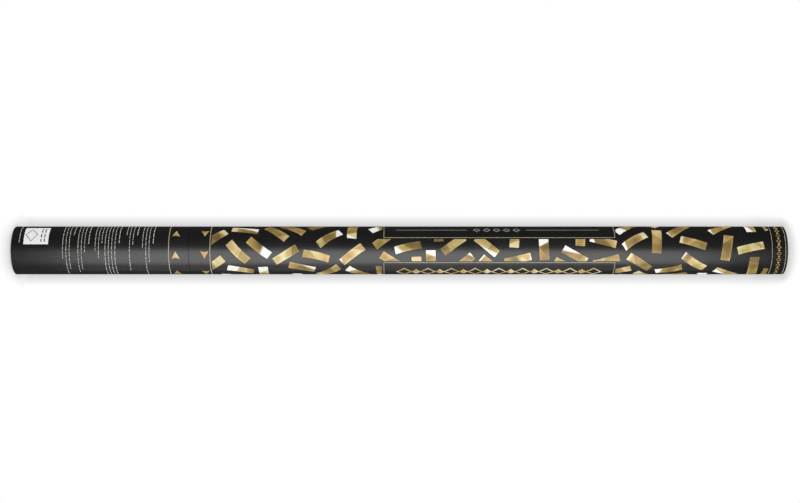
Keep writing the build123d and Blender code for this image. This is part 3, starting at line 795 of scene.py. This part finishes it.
# Confetti charge: each tier is a bundle of foil slips standing on edge, all bowed much the same way
charge = {"tiers": 6, "low": 225.0, "clear": 0.2, "pitch": 50.1, "tall": 49.6, "wide": 19.6,
          "deep": 27.6, "slips": 60, "thick": 0.1, "turnBy": 75.0,
          "bow": 0.62, "bowChange": 0.14, "bowStep": 0.55, "bowPhase": (0, 6), "lean": 0.06,
          "slide": 0.5, "mostSlide": 1.2, "short": 2.2, "tone": (0.1, 0.9),
          "columns": 9, "rows": 2, "seed": 33}
rng = np.random.default_rng(charge["seed"])
for tier in range(charge["tiers"]):
    n = charge["slips"]
    order = np.arange(n)[:, None, None]
    p = np.linspace(-1, 1, charge["columns"])[None, None, :]
    q = np.linspace(0, 1, charge["rows"])[None, :, None]
    # across the bundle: an even place, and a bow that changes slowly from slip to slip
    phase = rng.uniform(*charge["bowPhase"])
    bow = charge["bow"] + charge["bowChange"] * np.sin(order * charge["bowStep"] + phase)
    lean = rng.normal(0, charge["lean"], n)[:, None, None]
    x = (order / (n - 1) - 0.5) * charge["deep"] + bow * (0.5 - p ** 2) + lean * p * (q - 0.5)
    # the slips have slid past each other a little, and their ends don't quite line up
    mostSlide = charge["mostSlide"]
    slid = np.clip(rng.normal(0, charge["slide"], n), -mostSlide, mostSlide)[:, None, None]
    y = p * charge["wide"] / 2 + slid + 0 * q
    foot, top = rng.uniform(0, charge["short"], (2, n))[:, :, None, None]
    z = (charge["low"] + tier * charge["pitch"] + charge["clear"] + foot
         + q * (charge["tall"] - foot - top) + 0 * x)
    faceX = [(x + k * charge["thick"] / 2).reshape(n, -1) for k in (-1, 1)]
    bundleX = np.concatenate(faceX, 1)
    bundleY, bundleZ = [np.concatenate([np.broadcast_to(part, x.shape).reshape(n, -1)] * 2, 1)
                        for part in (y, z)]
    # each tier is turned a little further than the one below
    angle = np.radians(charge["turnBy"] * tier)
    cosine, sine = np.cos(angle), np.sin(angle)
    points = np.stack([bundleX * cosine - bundleY * sine, bundleX * sine + bundleY * cosine,
                       bundleZ], -1)
    tone = rng.uniform(*charge["tone"], n)[:, None] + 0 * bundleX
    quads = slabQuads(charge["rows"], charge["columns"])
    addPiece("confetti_slips_%d" % (tier + 1), points, quads, slipFilm, "charge",
             {"tone": tone}, ("confetti_tier_%d" % (tier + 1),))

# Carried-over CAD nodes get the finish of their real material
blackMoulding = mouldedPlastic("moulded_polypropylene", "#161616", "#1d1d1c", 0.45, 1.49, 0.5)
greyMoulding = mouldedPlastic("moulded_abs", "#6c6e70", "#7b7d7f", 0.4, 1.54, 0.5)
whiteMoulding = mouldedPlastic("moulded_acetal", "#dcdad2", "#e8e6df", 0.35, 1.48, 0.6)
rubber = mouldedPlastic("moulded_nitrile_rubber", "#1b1b1c", "#242425", 0.75, 1.52, 0.4)
aluminium = drawnMetal("drawn_aluminium", "#b9bbbd", "#d2d4d6", 0.32, 0.5)
springSteel = drawnMetal("hardened_spring_steel", "#77797c", "#95989b", 0.35, 0.4)
corrugated = flutedBoard()
pulp = mouldedPulp()
finishes = {"base_cap": blackMoulding, "muzzle_cap": blackMoulding, "handle_collar": greyMoulding,
            "cam_collar": greyMoulding, "blast_plate": greyMoulding, "thrust_washer": whiteMoulding,
            "release_plug": whiteMoulding, "fill_plug": rubber, "neck_seal": rubber,
            "plug_o_ring": rubber, "air_cylinder": aluminium, "cross_pin": springSteel,
            "retaining_ring": springSteel, "spacer_sleeve": corrugated, "pusher_cup": pulp}
for node, finish in finishes.items():
    for holder in nodes[node].material_slots:
        holder.material = finish
print("CAD nodes finished:", len(finishes))

# Stage: a white floor, and a narrow white board just behind the tube that shows only its shade,
# painted into their glow from occlusion and from place.
# Lengths are in mm, apart from the end line's bend, which is per metre.
stage = {"floorHalf": 3000.0, "boardAt": 30.0, "boardHalf": 70.0, "boardHigh": 1100.0,
         "mirrored": 0.07, "samples": 16, "deepest": 0.5,
         "floorReach": 55.0, "floorSides": (17.0, 37.0), "floorLean": 0.15,
         "behind": (-10.0, 30.0), "behindGain": 1.8,
         "boardReach": 23.0, "footGain": 1.6, "footHigh": 0.55,
         "endFrom": (740.0, 780.0), "endAt": 813.4, "endBend": 8.0, "endSides": 25.5,
         "endReach": 13.8, "endDepth": 0.35}


def whiteStage(name, reach, isBoard):
    # an even white to the camera, with painted shade where the object stands within reach, but only
    # to a set depth; glossy rays see the same white dimmed
    material, add, place = newMaterial(name)
    path = add("LightPath").outputs
    seen = add("Math", {"operation": "MAXIMUM"},
               {0: path["Is Camera Ray"], 1: path["Is Transmission Ray"]})
    near = add("AmbientOcclusion", {"samples": stage["samples"], "Distance": reach * mm})
    across, forward, up = add("SeparateXYZ", links={0: place}).outputs
    aside = add("Math", {"operation": "ABSOLUTE"}, {0: across})
    if isBoard:
        # at its foot the board sees half as much of the object, so its painted shade is made darker
        # there
        gain = add("MapRange", {"From Max": stage["footHigh"] * reach * mm,
                                "To Min": stage["footGain"], "To Max": 1.0},
                   {"Value": up})
    else:
        # the floor is seen edge on, so its painted shade goes a long way forward and only a little
        # to the sides, and it is made darker behind the tube, where it meets the board's
        start, end = stage["floorSides"]
        leant = add("Math", {"operation": "MULTIPLY_ADD", 1: -stage["floorLean"]},
                    {0: forward, 2: aside})
        sides = add("MapRange", {"From Min": start * mm, "From Max": end * mm,
                                 "To Min": 1.0, "To Max": 0.0}, {"Value": leant})
        start, end = stage["behind"]
        behind = add("MapRange", {"From Min": start * mm, "From Max": end * mm,
                                  "To Min": 1.0, "To Max": stage["behindGain"]},
                     {"Value": forward})
        gain = add("Math", {"operation": "MULTIPLY"}, {0: sides, 1: behind})
    shade = add("Math", {"operation": "SUBTRACT", 0: 1.0}, {1: near.outputs["AO"]})
    shade = add("Math", {"operation": "MULTIPLY"}, {0: shade, 1: gain})
    if isBoard:
        # painted shade past the muzzle, drawn by place alone: it fades with the distance from a
        # bent end line and from the tube's sides
        outside = add("Math", {"operation": "SUBTRACT", 1: stage["endSides"] * mm}, {0: aside})
        outside = add("Math", {"operation": "MAXIMUM", 1: 0.0}, {0: outside})
        past = add("Math", {"operation": "POWER", 1: 2.0}, {0: across})
        past = add("Math", {"operation": "MULTIPLY_ADD", 1: stage["endBend"]}, {0: past, 2: up})
        past = add("Math", {"operation": "SUBTRACT", 1: stage["endAt"] * mm}, {0: past})
        past = add("Math", {"operation": "MAXIMUM", 1: 0.0}, {0: past})
        away = add("CombineXYZ", links={0: outside, 1: past})
        away = add("VectorMath", {"operation": "LENGTH"}, {0: away}).outputs["Value"]
        fading = add("MapRange", {"interpolation_type": "SMOOTHSTEP",
                                  "From Max": stage["endReach"] * mm,
                                  "To Min": stage["endDepth"], "To Max": 0.0},
                     {"Value": away})
        start, end = stage["endFrom"]
        begun = add("MapRange", {"From Min": start * mm, "From Max": end * mm}, {"Value": up})
        paintedEndShade = add("Math", {"operation": "MULTIPLY"}, {0: fading, 1: begun})
        shade = add("Math", {"operation": "MAXIMUM"}, {0: shade, 1: paintedEndShade})
    shade = add("Math", {"operation": "MINIMUM", 1: stage["deepest"]}, {0: shade})
    bright = add("Math", {"operation": "SUBTRACT", 0: 1.0}, {1: shade})
    strength = add("Math", {"operation": "MULTIPLY"}, {0: bright, 1: seen})
    light = add("Emission", {"Color": white}, {"Strength": strength})
    dim = add("Emission", {"Color": white, "Strength": stage["mirrored"]})
    sheet = add("MixShader", links={0: path["Is Glossy Ray"], 1: light, 2: dim})
    if isBoard:
        # from behind it is clear
        back = add("NewGeometry").outputs["Backfacing"]
        clear = add("BsdfTransparent")
        sheet = add("MixShader", links={0: back, 1: sheet, 2: clear})
    add("OutputMaterial", links={"Surface": sheet})
    return material


def addSheet(name, corners, material):
    # one flat quad between four corners in mm, for the stage alone
    mesh = bpy.data.meshes.new(name)
    mesh.from_pydata((np.array(corners) * mm).tolist(), [], [(0, 1, 2, 3)])
    mesh.materials.append(material)
    sheet = bpy.data.objects.new(name, mesh)
    scene.collection.objects.link(sheet)
    return sheet


half = stage["floorHalf"]
floorWhite = whiteStage("white_floor", stage["floorReach"], False)
floor = addSheet("floor", [(-half, -half, 0), (half, -half, 0), (half, half, 0), (-half, half, 0)],
                 floorWhite)
floor.visible_shadow = False  # so that the floor doesn't darken the board behind
half, high, y = stage["boardHalf"], stage["boardHigh"], stage["boardAt"]
boardWhite = whiteStage("white_board", stage["boardReach"], True)
backdrop = addSheet("backdrop", [(-half, y, 0), (half, y, 0), (half, y, high), (-half, y, high)],
                    boardWhite)
for rays in ("visible_diffuse", "visible_glossy", "visible_transmission", "visible_shadow"):
    setattr(backdrop, rays, False)

# Light: a soft box as long as the tube and close to it, below the view line in the picture, gives
# the sheen, a strip beside it its tail, a strip right behind the tube a sheen for the back,
# four soft fills light all sides alike, and the room is pale and even.
# Each has its place and its size in metres, and its watts.
tubeLong, fillSize = 0.78, (1.2, 1.4)
lights = {"glossy": {"sheenBox": ((0.143, -0.229, 0.39), (0.36, tubeLong), 1.9),
                     "sheenStrip": ((0.27, 0.02, 0.39), (0.135, tubeLong), 0.15),
                     "sheenBack": ((0.0, 0.3, 0.39), (0.06, tubeLong), 1.0)},
          "diffuse": {"fillFrontUp": ((-1.2, -1.1, 0.7), fillSize, 12.3),
                      "fillFrontDown": ((1.35, -0.9, 0.7), fillSize, 14.5),
                      "fillBackUp": ((-1.2, 1.1, 0.7), fillSize, 8.0),
                      "fillBackDown": ((1.2, 1.1, 0.7), fillSize, 8.5)}}
aim = np.array([0.0, 0.0, 0.4])  # the tube's middle
for gives, lamps in lights.items():
    for name, (at, size, watts) in lamps.items():
        data = bpy.data.lights.new(name, "AREA")
        data.shape = "RECTANGLE"
        data.size, data.size_y = size
        data.energy = watts
        lamp = bpy.data.objects.new(name, data)
        scene.collection.objects.link(lamp)
        back = np.array(at) - aim
        back /= np.linalg.norm(back)
        side = np.cross([0, 0, 1], back)
        side /= np.linalg.norm(side)
        axes = np.eye(4)
        axes[:3] = np.stack([side, np.cross(back, side), back, at], 1)
        lamp.matrix_world = Matrix(axes.tolist())
        lamp.visible_camera = False
        lamp.visible_glossy = gives == "glossy"
        lamp.visible_diffuse = gives == "diffuse"

# Room: white to the camera, pale in the light that falls on the object, dark in its reflections
room = {"diffuse": 0.95, "glossy": 0.05}
world = bpy.data.worlds.new("pale_room")
world.use_nodes = True
world.node_tree.nodes.clear()
add = partial(addNode, world.node_tree)
path = add("LightPath").outputs
seen = add("Math", {"operation": "MAXIMUM"},
           {0: path["Is Camera Ray"], 1: path["Is Transmission Ray"]})
direct = add("MapRange", {"To Min": room["diffuse"], "To Max": 1.0}, {"Value": seen})
mirror = add("Mix", {"data_type": "FLOAT", 3: room["glossy"]},
             {0: path["Is Glossy Ray"], 2: direct})
sky = add("Background", {"Color": white}, {"Strength": mirror})
add("OutputWorld", links={"Surface": sky})
world.cycles.sampling_method = "NONE"  # so that glossy rays alone decide what the film mirrors
scene.world = world
print("stage, lights and room set")

# Camera: square on to the tube, rolled so that the tube lies across the picture, base at the left
camera = {"lens": 66.75, "sensor": 36.0, "at": (0.00115, -1.55, 0.4006)}
data = bpy.data.cameras.new("camera")
data.lens, data.sensor_width = camera["lens"], camera["sensor"]
eye = bpy.data.objects.new("camera", data)
scene.collection.objects.link(eye)
x, y, z = camera["at"]
eye.matrix_world = Matrix(((0, -1, 0, x), (0, 0, -1, y), (1, 0, 0, z), (0, 0, 0, 1)))
scene.camera = eye

print("scene ready")
